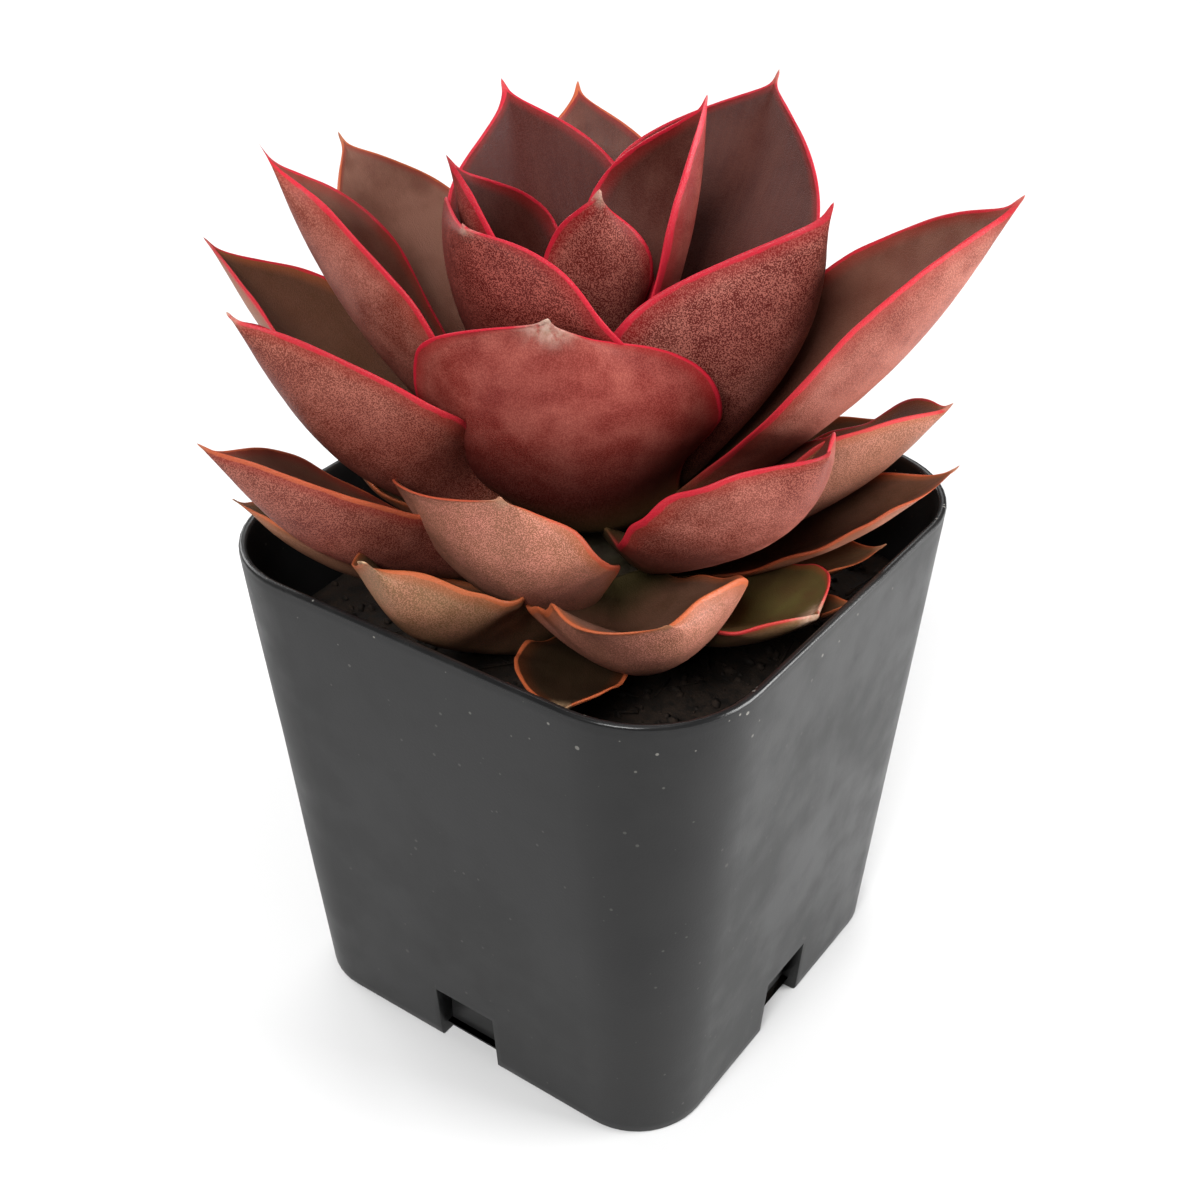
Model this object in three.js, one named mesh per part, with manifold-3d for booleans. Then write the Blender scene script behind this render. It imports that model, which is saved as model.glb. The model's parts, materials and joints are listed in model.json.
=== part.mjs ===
// A potted rosette succulent: a square tapered nursery pot, its potting mix, the plant's stem
// and every leaf as a solid of its own. Millimetres, +Z up. The origin is the middle of the
// pot's underside, on the surface that the pot stands on.
import * as THREE from "three";
import { mergeVertices } from "three/addons/utils/BufferGeometryUtils.js";
import Module from "manifold-3d";

const wasm = await Module();
wasm.setup();

const { degToRad, clamp } = THREE.MathUtils;

// ---- driving dimensions -------------------------------------------------------------------
const GAP = 0.3; // clearance between touching pieces
const POT = {
  height: 59,
  topWidth: 60, // across the flats at the rim
  topCorner: 12.6, // corner radius at the rim
  bottomWidth: 50.8,
  bottomCorner: 8.2,
  wall: 0.9,
  floor: 1.2,
};
const DRAIN = { width: 8, height: 8, depth: 2.4, wall: 0.8 }; // niche in the foot of each side
const MIX = { top: 46.5, crown: 1.2, crownRadius: 20 };
const STEM = { foot: 34, neck: 47, top: 70, footRadius: 2.4, clearance: 1.7 };
const HUB = { low: 50, high: 73, lowRadius: 6, highRadius: 1.5 }; // where the leaf bases sit
const LEAF = {
  ring: 12, // points round one section
  rows: 11, // steps along the leaf
  thickness: 3.6, // at most
  slimness: 0.22, // thickness of a narrow leaf, as a share of its width
  underside: 0.72, // the share of the thickness below the edges
};

// ---- leaves -------------------------------------------------------------------------------
// Each row is one leaf: the compass angle that it points to, the height of its base, its length
// and width, how steeply its chord rises, how much steeper its tip is than its base, its roll
// about its own axis, and how far its edges stand up, as a share of its half width. The rows
// run from the heart of the rosette outwards.
//   name                compass base length width rise curl roll cup
const LEAVES = [
  ["leaf_heart_back", 130, 73, 19, 9, 86, 0, 0, 0.5],
  ["leaf_heart_front", 306, 72.5, 19.5, 9, 86, 3, 0, 0.4],
  ["leaf_inner_left", 253, 67, 30, 24, 65, 25, 0, 0.4],
  ["leaf_inner_back_left", 197, 69.5, 29, 15, 63, 10, 10, 0.6],
  ["leaf_inner_folded", 62, 67, 35, 15, 76, 5, -20, 0.7],
  ["leaf_front_bowl", 290, 60.2, 31, 26.5, 65.5, 45, 0, 0.28],
  ["leaf_right_inner", 12, 62, 39, 19, 61, 30, -25, 0.6],
  ["leaf_back_centre", 150, 65, 39, 21, 56, 10, 0, 0.3],
  ["leaf_back_right", 83, 63, 43, 25, 57, 12, 0, 0.3],
  ["leaf_left_upper", 217.3, 58.9, 46.8, 15.5, 54.5, 22, 0, 0.35],
  ["leaf_right_long", 20, 58, 52, 20, 49, 25, 8, 0.5],
  ["leaf_left_big", 234.5, 57.3, 43, 20.5, 43.5, 30, 15, 0.6],
  ["leaf_back_left", 180, 58, 43, 17, 50, 18, 0, 0.3],
  ["leaf_back_far", 130, 61, 44, 20, 49, 10, 0, 0.3],
  ["leaf_back_mid", 149, 57.3, 38, 14, 39, 15, 0, 0.35],
  ["leaf_back_mid_right", 107, 58, 40, 17, 42, 15, 0, 0.35],
  ["leaf_back_mid_side", 66, 58.6, 31, 12, 46, 12, 0, 0.4],
  ["leaf_left_back", 200, 54, 48, 16.5, 40, 22, -5, 0.5],
  ["leaf_back_low_right", 77, 57, 38.5, 17, 30, 20, 0, 0.3],
  ["leaf_low_left", 239, 54.8, 41.5, 16.5, 30.8, 40, 0, 0.6],
  ["leaf_low_front_left", 282.5, 52.2, 28.6, 16.8, 50, 64, 0, 0.35],
  ["leaf_low_front_right", 348, 57.3, 33.5, 19.5, 39.5, 45, -14, 0.5],
  ["leaf_low_right", 25, 53.5, 36.5, 14, 36, 30, 0, 0.5],
  ["leaf_low_far_right", 22, 51.6, 35.5, 10, 30, 33, 0, 0.4],
  ["leaf_foot_front", 317, 53.7, 28.5, 16, 24, 55, 0, 0.4],
  ["leaf_foot_front_left", 262, 48.8, 32.3, 13.5, 36, 45, 4, 0.5],
  ["leaf_foot_right", 352, 51, 24.5, 14, 20, 32, 0, 0.3],
  ["leaf_foot_left", 225, 50, 35, 14, 24, 40, 5, 0.4],
  ["leaf_foot_folded", 298, 48.4, 25, 8, 18, 0, 0, 0.5],
  ["leaf_foot_far_right", 25, 49.6, 25.5, 9, 20, 28, 0, 0.4],
  ["leaf_foot_right_low", 5, 48.4, 25, 8, 22, 42, 0, 0.3],
  ["leaf_back_low_left", 166, 55, 42, 18, 30, 20, 0, 0.4],
  ["leaf_back_low", 121, 55, 42, 17, 32, 20, 0, 0.4],
  ["leaf_low_back_right", 52, 53.5, 34, 13, 20, 25, 0, 0.4],
  ["leaf_foot_back_left", 196, 50, 31, 16, 32, 25, 0, 0.4],
  ["leaf_foot_back", 146, 50, 34, 16, 25, 25, 0, 0.4],
  ["leaf_foot_back_right", 96, 50, 30, 16, 32, 25, 0, 0.4],
  ["leaf_foot_back_side", 58, 49.3, 32, 13, 22, 25, 0, 0.4],
];

const LEAF_COLOURS = [
  { above: 60, color: 0x8c4a52 }, // young, wine red
  { above: 54, color: 0x84534a },
  { above: 0, color: 0x7b6446 }, // old, tan and olive
];

// ---- solids -------------------------------------------------------------------------------
const material = (color, roughness) => new THREE.MeshStandardMaterial({ color, roughness, metalness: 0 });

function solidOf(geometry) {
  const bare = geometry.clone();
  bare.deleteAttribute("normal");
  bare.deleteAttribute("uv");
  const merged = mergeVertices(bare, 1e-4);
  return new wasm.Manifold(
    new wasm.Mesh({
      numProp: 3,
      vertProperties: new Float32Array(merged.getAttribute("position").array),
      triVerts: new Uint32Array(merged.index.array),
    }),
  );
}

function geometryOf(solid) {
  const { vertProperties, triVerts } = solid.getMesh();
  const geometry = new THREE.BufferGeometry();
  geometry.setAttribute("position", new THREE.BufferAttribute(vertProperties, 3));
  geometry.setIndex(new THREE.BufferAttribute(triVerts, 1));
  geometry.computeVertexNormals();
  return geometry;
}

function node(name, geometry, look) {
  const mesh = new THREE.Mesh(geometry, look);
  mesh.name = name;
  return mesh;
}

function boxSolid(width, depth, height, x, y, z) {
  return solidOf(new THREE.BoxGeometry(width, depth, height).translate(x, y, z));
}

// ---- pot ----------------------------------------------------------------------------------
// Half width and corner radius of the pot's outer face at a height, less an inset.
function potSection(z, inset) {
  const t = z / POT.height;
  const half = THREE.MathUtils.lerp(POT.bottomWidth, POT.topWidth, t) / 2 - inset;
  const corner = THREE.MathUtils.lerp(POT.bottomCorner, POT.topCorner, t) - inset;
  return { half, corner };
}

function roundedSquare({ half, corner }) {
  const shape = new THREE.Shape();
  const straight = half - corner;
  for (let quarter = 0; quarter < 4; quarter++) {
    const from = (quarter * Math.PI) / 2;
    const x = straight * Math.sign(Math.cos(from + Math.PI / 4));
    const y = straight * Math.sign(Math.sin(from + Math.PI / 4));
    shape.absarc(x, y, corner, from, from + Math.PI / 2, false);
  }
  return shape;
}

// A block that follows the pot's taper from one height to another.
function taperedBlock(low, high, inset) {
  const top = potSection(high, inset);
  const bottom = potSection(low, inset);
  const geometry = new THREE.ExtrudeGeometry(roundedSquare(top), {
    depth: high - low,
    bevelEnabled: false,
    curveSegments: 8,
  });
  const position = geometry.getAttribute("position");
  for (let i = 0; i < position.count; i++) {
    if (position.getZ(i) > 1e-6) continue;
    const move = (value) => {
      const sign = Math.sign(value);
      const bend = value - sign * (top.half - top.corner);
      return sign * (bottom.half - bottom.corner) + (bend * bottom.corner) / top.corner;
    };
    position.setXY(i, move(position.getX(i)), move(position.getY(i)));
  }
  return solidOf(geometry.translate(0, 0, low));
}

// Copies of a solid that is built for the -Y side, one for each side.
function onEachSide(solid) {
  const turned = [0, 90, 180, 270].map((angle) => solid.rotate([0, 0, angle]));
  return wasm.Manifold.union(turned);
}

// A box round a drain niche: it reaches from outside the pot to a depth behind the foot's face,
// and from below the foot to a height.
function drainBlock(grown) {
  const front = -potSection(0, 0).half - 3;
  const depth = DRAIN.depth + 3 + (grown > DRAIN.wall ? GAP : 0);
  const height = DRAIN.height + grown + 1;
  return boxSolid(DRAIN.width + 2 * grown, depth, height, 0, front + depth / 2, height / 2 - 1);
}

function potSolid() {
  const outside = taperedBlock(0, POT.height, 0);
  const inside = taperedBlock(POT.floor, POT.height + 1, POT.wall);
  const collars = onEachSide(drainBlock(DRAIN.wall)).intersect(outside);
  return outside.subtract(inside).add(collars).subtract(onEachSide(drainBlock(0)));
}

// ---- potting mix and stem -----------------------------------------------------------------
function mixSolid() {
  const block = taperedBlock(POT.floor + GAP, MIX.top, POT.wall + GAP);
  const crown = new THREE.LatheGeometry(
    [
      new THREE.Vector2(0, MIX.top - 2),
      new THREE.Vector2(MIX.crownRadius, MIX.top - 2),
      new THREE.Vector2(MIX.crownRadius, MIX.top + 0.1),
      new THREE.Vector2(MIX.crownRadius / 2, MIX.top + 0.8 * MIX.crown),
      new THREE.Vector2(0, MIX.top + MIX.crown),
    ],
    32,
  ).rotateX(Math.PI / 2);
  const socket = solidOf(stemGeometry(GAP));
  const drains = onEachSide(drainBlock(DRAIN.wall + GAP));
  return block.add(solidOf(crown)).subtract(drains).subtract(socket);
}

const hubRadius = (z) => THREE.MathUtils.mapLinear(z, HUB.low, HUB.high, HUB.lowRadius, HUB.highRadius);

function stemGeometry(grown) {
  const { foot, neck, top, footRadius, clearance } = STEM;
  const profile = [
    new THREE.Vector2(0, foot - grown),
    new THREE.Vector2(footRadius + grown, foot - grown),
    new THREE.Vector2(hubRadius(HUB.low) - clearance + grown, neck),
    new THREE.Vector2(hubRadius(HUB.low) - clearance + grown, HUB.low),
    new THREE.Vector2(hubRadius(top) - clearance + grown, top),
    new THREE.Vector2(0, top + grown),
  ];
  return new THREE.LatheGeometry(profile, 24).rotateX(Math.PI / 2);
}

// ---- one leaf -----------------------------------------------------------------------------
// Half width along the leaf, from base (0) to tip (1), as a share of the greatest.
function widthAt(s) {
  const widest = 0.58;
  const foot = 0.22;
  if (s < widest) return foot + (1 - foot) * Math.sin((Math.PI / 2) * (s / widest)) ** 2.5;
  const u = (s - widest) / (1 - widest);
  return Math.max(1 - u ** 2.1, 0) ** 1.15;
}

// Thickness along the leaf as a share of the greatest.
function thicknessAt(s) {
  return Math.min(1, 4 * s + 0.45) * (1 - 0.55 * s) * Math.max(1 - s ** 6, 0) ** 0.7;
}

// The centre line, in the plane that holds the stem: it starts flatter and ends steeper than
// its mean rise. Gives the point and the slope at a share of the length.
function spineOf({ length, rise, curl }) {
  const steps = 60;
  const slope = (s) => degToRad(rise + curl * (s - 0.5));
  const points = [new THREE.Vector3()];
  for (let i = 0; i < steps; i++) {
    const angle = slope((i + 0.5) / steps);
    const step = new THREE.Vector3(Math.cos(angle), 0, Math.sin(angle)).multiplyScalar(length / steps);
    points.push(step.add(points[i]));
  }
  return (s) => {
    const i = Math.min(Math.floor(s * steps), steps - 1);
    return { point: points[i].clone().lerp(points[i + 1], s * steps - i), angle: slope(s) };
  };
}

// A sphere drawn out along the centre line: its poles become the base and the tip, and each of
// its rings a section that is thin at the edges, hollow above and rounded below.
function leafGeometry(leaf) {
  const geometry = new THREE.SphereGeometry(1, LEAF.ring, LEAF.rows);
  const position = geometry.getAttribute("position");
  const spine = spineOf(leaf);
  const thickness = Math.min(LEAF.thickness, LEAF.slimness * leaf.width);
  for (let i = 0; i < position.count; i++) {
    const vertex = new THREE.Vector3().fromBufferAttribute(position, i);
    const s = clamp(1 - Math.acos(clamp(vertex.y, -1, 1)) / Math.PI, 0, 1);
    const { point, angle } = spine(s);
    const ring = Math.hypot(vertex.x, vertex.z);
    if (ring > 1e-6) {
      const across = -vertex.x / ring;
      const side = vertex.z / ring;
      const half = (leaf.width / 2) * widthAt(s);
      const share = side < 0 ? LEAF.underside : 1 - LEAF.underside;
      const lift = leaf.cup * half * Math.abs(across) ** 1.8;
      const rise = lift + share * thickness * thicknessAt(s) * side;
      const section = new THREE.Vector3(0, half * across, rise);
      section.applyAxisAngle(new THREE.Vector3(1, 0, 0), degToRad(leaf.roll));
      section.applyAxisAngle(new THREE.Vector3(0, 1, 0), -angle);
      point.add(section);
    }
    position.setXYZ(i, point.x, point.y, point.z);
  }
  geometry.computeVertexNormals();
  return geometry;
}

function leafMesh(leaf) {
  const { color } = LEAF_COLOURS.find(({ above }) => leaf.base > above);
  const mesh = node(leaf.name, leafGeometry(leaf), material(color, 0.5));
  const out = hubRadius(leaf.base);
  const turn = degToRad(leaf.compass);
  mesh.position.set(out * Math.cos(turn), out * Math.sin(turn), leaf.base);
  mesh.rotation.z = turn;
  return mesh;
}

// ---- assembly -----------------------------------------------------------------------------
const plant = new THREE.Group();
plant.add(node("pot", geometryOf(potSolid()), material(0x2b2b2b, 0.35)));
plant.add(node("potting_mix", geometryOf(mixSolid()), material(0x1d1813, 1)));
plant.add(node("stem", stemGeometry(0), material(0x6b6a3c, 0.7)));

const rosette = new THREE.Group();
for (const [name, compass, base, length, width, rise, curl, roll, cup] of LEAVES) {
  rosette.add(leafMesh({ name, compass, base, length, width, rise, curl, roll, cup }));
}
plant.add(rosette);

export default plant;
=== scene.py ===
"""A rosette succulent in a square nursery pot, and its studio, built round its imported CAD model."""

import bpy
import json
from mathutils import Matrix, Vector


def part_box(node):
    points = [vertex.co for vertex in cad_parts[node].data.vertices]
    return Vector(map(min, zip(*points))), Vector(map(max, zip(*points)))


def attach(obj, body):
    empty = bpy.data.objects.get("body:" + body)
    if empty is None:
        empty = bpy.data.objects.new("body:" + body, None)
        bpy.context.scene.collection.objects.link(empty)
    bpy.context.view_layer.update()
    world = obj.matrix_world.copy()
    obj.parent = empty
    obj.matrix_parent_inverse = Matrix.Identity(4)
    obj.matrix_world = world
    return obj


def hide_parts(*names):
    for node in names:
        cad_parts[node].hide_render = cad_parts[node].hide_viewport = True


bl_info = {
    "name": "Potted Succulent",
    "version": (1, 0, 0),
    "blender": (4, 5, 0),
    "location": "3D View > Sidebar > Succulent",
    "description": "Builds a rosette succulent in a square nursery pot, and a studio round it",
    "category": "Add Mesh",
}

import json
import math
import random

import bmesh
import bpy
import numpy as np
from mathutils import Matrix, Vector, noise

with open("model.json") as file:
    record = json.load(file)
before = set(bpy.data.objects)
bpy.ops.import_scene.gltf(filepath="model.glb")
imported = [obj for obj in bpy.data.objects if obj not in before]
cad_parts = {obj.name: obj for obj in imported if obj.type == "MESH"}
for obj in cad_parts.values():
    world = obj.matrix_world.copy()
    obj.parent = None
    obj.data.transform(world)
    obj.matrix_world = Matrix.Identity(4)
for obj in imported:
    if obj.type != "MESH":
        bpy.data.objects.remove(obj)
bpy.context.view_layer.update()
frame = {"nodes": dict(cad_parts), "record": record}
MM = 0.001
NEAR = 1e-5  # metres within which vertices are taken to be in line
CLOSE = 1e-6  # metres within which they are taken to be at one height or one place
CENTRE_Z = (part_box("pot")[0].z + max(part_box(n)[1].z for n in frame["nodes"])) / 2


# ---- settings ------------------------------------------------------------------------------
def length(name, description, default, low=0.0, high=0.1):
    return bpy.props.FloatProperty(
        name=name, description=description, default=default, min=low, max=high, precision=5,
        subtype="DISTANCE", unit="LENGTH",
    )


def colour(name, description, default):
    return bpy.props.FloatVectorProperty(
        name=name, description=description, default=default, size=3, min=0, max=1, subtype="COLOR"
    )


def share(name, description, default, high=1.0):
    return bpy.props.FloatProperty(
        name=name, description=description, default=default, min=0, max=high, subtype="FACTOR"
    )


def count(name, description, default):
    return bpy.props.IntProperty(
        name=name, description=description, default=default, min=0, max=5000
    )


class PotSettings(bpy.types.PropertyGroup):
    """Sizes and colours of the nursery pot"""

    wall: length("Wall", "Thickness of the pot's sides", 0.9 * MM)
    floor: length("Floor", "Thickness of the pot's floor", 1.2 * MM)
    niche_width: length("Niche width", "Width of the drain niche in the foot of each side", 8 * MM)
    niche_height: length("Niche height", "Height of the drain niche", 8 * MM)
    niche_depth: length("Niche depth", "Depth of the drain niche", 2.4 * MM)
    warp: length("Warp", "How far the thin sides and rim wander from true", 0.1 * MM)
    plastic: colour("Plastic", "Colour of the moulded plastic", (0.009, 0.009, 0.0092))
    dust: share("Dust", "Amount of pale dust and scuffs", 0.5)


class MixSettings(bpy.types.PropertyGroup):
    """Sizes and colours of the potting mix"""

    lump: length("Lumps", "Height of the lumps in the surface", 0.9 * MM)
    grains: count("Grains", "Number of loose grains of peat and grit", 900)
    twigs: count("Twigs", "Number of loose fibres and twigs", 70)
    peat: colour("Peat", "Colour of the peat", (0.0055, 0.0039, 0.0028))
    grit: colour("Grit", "Colour of the pale grains", (0.0413, 0.0303, 0.0209))


class StemSettings(bpy.types.PropertyGroup):
    """Sizes and colours of the stem"""

    growth: length("Growth", "How far the bark stands out from the CAD stem", 1.3 * MM)
    # own colours of the bark and young top, kept very dark as painted shade for the gap between the
    # leaves
    bark: colour("Bark", "Colour of the woody bark", (0.045, 0.028, 0.015))
    green: colour("Green", "Colour of the young top of the stem", (0.03, 0.026, 0.010))


class LeafSettings(bpy.types.PropertyGroup):
    """Sizes and colours that all the leaves share"""

    ridge: length("Ridge", "Height of the raised line along a leaf's edge", 0.11 * MM)
    ridge_width: length("Ridge width", "Width of that line", 0.42 * MM)
    stipple: length("Stipple", "Distance between the fine dots of the skin", 0.13 * MM)
    spur: share("Spur", "Share of a leaf's length taken by the hard point at its tip", 0.03)
    bloom: colour("Bloom", "Colour of the pale waxy bloom", (0.45, 0.165, 0.125))
    foot: colour("Foot", "Colour of a leaf's foot, near the stem", (0.045, 0.036, 0.012))
    dry: colour("Dry skin", "Colour of dried tips and scars", (0.52, 0.35, 0.20))


class StageSettings(bpy.types.PropertyGroup):
    """Floor, light and camera"""

    floor: colour("Floor", "Colour of the floor", (0.6, 0.6, 0.6))
    ambient: share("Ambient", "Strength of the light from all round", 0.11, 5)
    azimuth: bpy.props.FloatProperty(
        name="Azimuth", description="Compass angle that the camera looks from",
        default=math.radians(35.43), subtype="ANGLE", unit="ROTATION",
    )
    elevation: bpy.props.FloatProperty(
        name="Elevation", description="Angle of the camera above the horizon",
        default=math.radians(33.64), subtype="ANGLE", unit="ROTATION",
    )
    distance: length("Distance", "Distance from the camera to its target", 0.18016, 0.05, 2.0)
    target: length("Target height", "Height of the point that the camera looks at", 0.04777, 0, 0.2)
    lens: bpy.props.FloatProperty(
        name="Lens", description="Focal length on a 36 mm sensor", default=49.98, min=10, max=200
    )


# ---- shader nodes --------------------------------------------------------------------------
def add(tree, kind, inputs=None, **settings):
    """Adds a node, with its settings, and its inputs set to values or linked from sockets."""
    item = tree.nodes.new(kind)
    for key, value in settings.items():
        setattr(item, key, value)
    for key, value in (inputs or {}).items():
        if isinstance(value, bpy.types.NodeSocket):
            tree.links.new(value, item.inputs[key])
        else:
            item.inputs[key].default_value = value
    return item


def calc(tree, operation, *values, clamp=False):
    inputs = dict(enumerate(values))
    return add(tree, "ShaderNodeMath", inputs, operation=operation, use_clamp=clamp).outputs[0]


def plus(tree, first, second, clamp=False):
    return calc(tree, "ADD", first, second, clamp=clamp)


def minus(tree, first, second):
    return calc(tree, "SUBTRACT", first, second)


def times(tree, first, second):
    return calc(tree, "MULTIPLY", first, second)


def mixed(tree, factor, first, second, blend="MIX"):
    """Mixes two colours, given as sockets or as red, green and blue."""
    wide = [v if isinstance(v, bpy.types.NodeSocket) else (*v, 1) for v in (first, second)]
    inputs = {0: factor, 6: wide[0], 7: wide[1]}
    return add(tree, "ShaderNodeMix", inputs, data_type="RGBA", blend_type=blend).outputs[2]


def eased(tree, value, low, high, start=0.0, end=1.0):
    """A smooth step from start to end as the value goes from low to high."""
    inputs = {"Value": value, "From Min": low, "From Max": high, "To Min": start, "To Max": end}
    return add(tree, "ShaderNodeMapRange", inputs, interpolation_type="SMOOTHSTEP").outputs[0]


def grain(tree, vector, scale, detail=2.0, rough=0.5):
    inputs = {"Vector": vector, "Scale": scale, "Detail": detail, "Roughness": rough}
    return add(tree, "ShaderNodeTexNoise", inputs).outputs["Fac"]


def attribute(tree, name):
    return add(tree, "ShaderNodeAttribute", attribute_name=name).outputs["Fac"]


def group(name, inputs, outputs, build):
    """A shader node group. Its inputs and outputs are name: default pairs, and build gets the tree
    and its two ends."""
    if name in bpy.data.node_groups:
        return bpy.data.node_groups[name]
    tree = bpy.data.node_groups.new(name, "ShaderNodeTree")
    for direction, sockets in (("INPUT", inputs), ("OUTPUT", outputs)):
        for title, default in sockets.items():
            kind = "NodeSocketFloat"
            if isinstance(default, tuple):
                kind = "NodeSocketVector" if title == "Vector" else "NodeSocketColor"
            socket = tree.interface.new_socket(title, in_out=direction, socket_type=kind)
            if kind == "NodeSocketColor":
                socket.default_value = (*default, 1)
            elif kind == "NodeSocketFloat":
                socket.default_value = default
    build(tree, tree.nodes.new("NodeGroupInput").outputs, tree.nodes.new("NodeGroupOutput").inputs)
    return tree


def use(tree, node_group, inputs):
    item = tree.nodes.new("ShaderNodeGroup")
    item.node_tree = node_group
    for key, value in inputs.items():
        if isinstance(value, bpy.types.NodeSocket):
            tree.links.new(value, item.inputs[key])
        else:
            item.inputs[key].default_value = (*value, 1) if isinstance(value, tuple) else value
    return item.outputs


def stipple_group():
    """Fine pale dots, like the pores of a waxy skin, thicker in some places than others."""

    def build(tree, given, out):
        fine = grain(tree, given["Vector"], given["Scale"], 1.0, 0.6)
        patch = grain(tree, given["Vector"], times(tree, given["Scale"], 0.06), 2.0, 0.5)
        level = plus(tree, fine, times(tree, minus(tree, patch, 0.5), 0.18))
        tree.links.new(eased(tree, level, 0.44, 0.60), out["Dots"])

    return group("Skin Stipple", {"Vector": (0, 0, 0), "Scale": 5000.0}, {"Dots": 0.0}, build)


def mottle_group():
    """Soft uneven patches of two sizes, from 0 to 1."""

    def build(tree, given, out):
        broad = grain(tree, given["Vector"], given["Scale"], 2.0, 0.55)
        close = grain(tree, given["Vector"], times(tree, given["Scale"], 4.0), 3.0, 0.6)
        both = plus(tree, times(tree, broad, 0.65), times(tree, close, 0.35))
        tree.links.new(eased(tree, both, 0.34, 0.66), out["Patches"])

    return group("Mottle", {"Vector": (0, 0, 0), "Scale": 120.0}, {"Patches": 0.0}, build)


def streak_group():
    """Fine streaks that run along a leaf."""

    def build(tree, given, out):
        across = times(tree, given["Across"], given["Density"])
        along = times(tree, given["Along"], 3.0)
        inputs = {0: across, 1: along, 2: given["Seed"]}
        place = add(tree, "ShaderNodeCombineXYZ", inputs).outputs[0]
        tree.links.new(eased(tree, grain(tree, place, 1.0, 3.0, 0.6), 0.35, 0.65), out["Streaks"])

    inputs = {"Across": 0.0, "Along": 0.0, "Density": 2.0, "Seed": 0.0}
    return group("Leaf Streaks", inputs, {"Streaks": 0.0}, build)


def edge_group():
    """The coloured line along a leaf's edge, and the softer band inside it. Rim and Width are in
    millimetres."""

    def build(tree, given, out):
        wander = minus(tree, grain(tree, given["Vector"], 400.0, 2.0, 0.5), 0.5)
        rim = plus(tree, given["Rim"], times(tree, wander, given["Width"]))
        half = times(tree, given["Width"], 0.55)
        tree.links.new(eased(tree, rim, half, given["Width"], 1.0, 0.0), out["Line"])
        wide = times(tree, given["Width"], 4.5)
        tree.links.new(eased(tree, rim, half, wide, 1.0, 0.0), out["Band"])

    inputs = {"Vector": (0, 0, 0), "Rim": 0.0, "Width": 0.6}
    return group("Leaf Edge", inputs, {"Line": 0.0, "Band": 0.0}, build)


def dust_group():
    """Pale specks and faint smears, from 0 to 1."""

    def build(tree, given, out):
        inputs = {"Vector": given["Vector"], "Scale": given["Scale"]}
        specks = add(tree, "ShaderNodeTexVoronoi", inputs)
        size = grain(tree, given["Vector"], times(tree, given["Scale"], 0.35), 1.0)
        near = minus(tree, times(tree, size, 0.26), specks.outputs["Distance"])
        dots = times(tree, eased(tree, near, 0.05, 0.09), given["Amount"])
        haze = grain(tree, given["Vector"], times(tree, given["Scale"], 0.04), 4.0)
        smear = eased(tree, haze, 0.5, 0.8)
        both = plus(tree, dots, times(tree, smear, times(tree, given["Amount"], 0.12)))
        tree.links.new(calc(tree, "MINIMUM", both, 1.0), out["Dust"])

    inputs = {"Vector": (0, 0, 0), "Scale": 900.0, "Amount": 0.5}
    return group("Dust", inputs, {"Dust": 0.0}, build)


def mottle(tree, place, scale):
    return use(tree, mottle_group(), {"Vector": place, "Scale": scale})["Patches"]


def dusting(tree, place, scale, amount):
    return use(tree, dust_group(), {"Vector": place, "Scale": scale, "Amount": amount})["Dust"]


def new_material(name, **constants):
    """A material with its Principled shader, whose constant inputs are given by name."""
    material = bpy.data.materials.new(name)
    material.use_nodes = True
    tree = material.node_tree
    shader = tree.nodes["Principled BSDF"]
    for key, value in constants.items():
        shader.inputs[key].default_value = value
    return material, tree, shader


def object_place(tree):
    return tree.nodes.new("ShaderNodeTexCoord").outputs["Object"]


def bump(tree, shader, height, distance, strength=1.0):
    inputs = {"Height": height, "Distance": distance, "Strength": strength}
    tree.links.new(add(tree, "ShaderNodeBump", inputs).outputs[0], shader.inputs["Normal"])


# ---- mesh helpers --------------------------------------------------------------------------
def finish_piece(bm, name, material, slot, *nodes):
    """Turns a bmesh into a smooth piece that rides with the object and stands for CAD nodes."""
    mesh = bpy.data.meshes.new(name)
    bm.to_mesh(mesh)
    bm.free()
    mesh.shade_smooth()
    mesh.materials.append(material)
    piece = bpy.data.objects.new(name, mesh)
    bpy.context.scene.collection.objects.link(piece)
    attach(piece, "root")
    if nodes:
        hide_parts(*nodes)
    return piece


def ring_edges(bm, ring):
    return [bm.edges.get((ring[i - 1], ring[i])) for i in range(len(ring))]


def grow_ring(bm, ring):
    """Extrudes a closed ring of vertices, and returns the new ring in the same order."""
    grown = bmesh.ops.extrude_edge_only(bm, edges=ring_edges(bm, ring))["geom"]
    new = {v for v in grown if isinstance(v, bmesh.types.BMVert)}
    return [next(e.other_vert(v) for e in v.link_edges if e.other_vert(v) in new) for v in ring]


def close_ends(bm, rings):
    """Fills the first and the last ring, and turns all the faces outwards."""
    for ring in (rings[0], rings[-1]):
        bmesh.ops.edgeloop_fill(bm, edges=ring_edges(bm, ring))
    bmesh.ops.recalc_face_normals(bm, faces=bm.faces)


def wander(place, size, seed=0.0):
    """A smooth random number from about -1 to 1 that changes over a distance of size."""
    return noise.noise(Vector(place) / size + Vector((seed, 3.1 * seed, 7.7 * seed)))


# ---- pot -----------------------------------------------------------------------------------
CORNER_STEPS = 12  # steps round each corner of the pot
FLAT_MARKS = (9 * MM, 14 * MM)  # places along each half side that have a column of vertices
SIDE_ROWS = (14, 21, 28, 35, 42, 49, 54, 57.5)  # heights of the rows up the sides, in millimetres


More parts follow.
